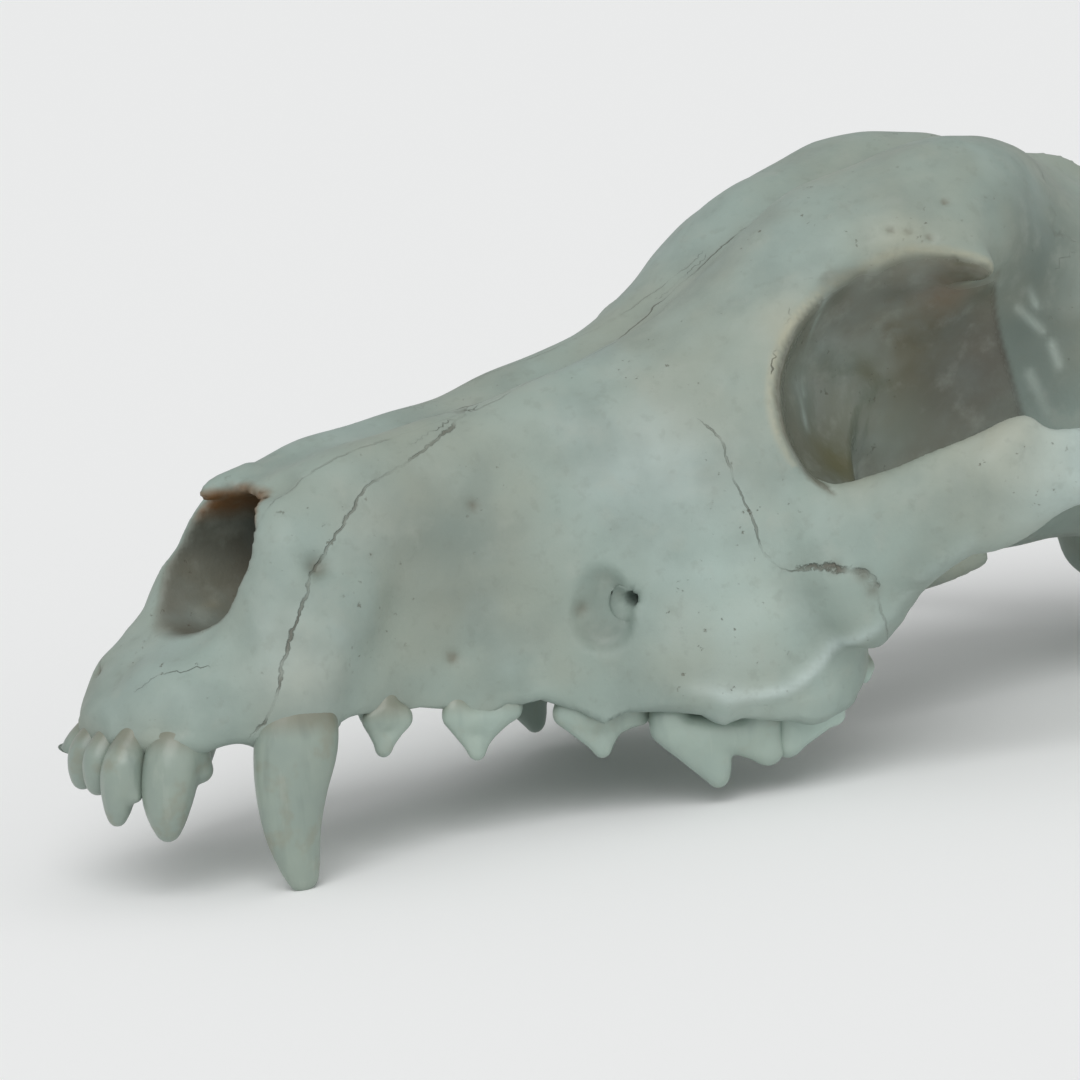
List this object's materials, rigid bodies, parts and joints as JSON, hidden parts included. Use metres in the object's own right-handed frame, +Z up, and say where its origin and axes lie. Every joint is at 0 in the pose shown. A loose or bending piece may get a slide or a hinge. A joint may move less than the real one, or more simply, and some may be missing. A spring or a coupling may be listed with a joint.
{
  "type": "wolf skull",
  "caption": "Life-size wolf skull without the lower jaw: long muzzle with worn teeth, eye sockets open to the cheek arches, domed forehead, crest and open nose.",
  "frame": {"origin": "centre of the skull's length and width, on the surface it rests on", "axes": "-X to the nose, -Y to the animal's left side, which faces the camera, +Z up; the skull is tipped back into its resting pose"},
  "size_m": [0.2618, 0.1435, 0.1002],
  "materials": {
    "bone": "dry, waxy bone with a soft sheen"
  },
  "bodies": {
    "root": {"cranium": "bone", "left_maxilla": "bone", "right_maxilla": "bone", "incisive_bones": "bone", "nasal_bones": "bone", "left_cheekbone": "bone", "right_cheekbone": "bone"}
  },
  "joints": []
}
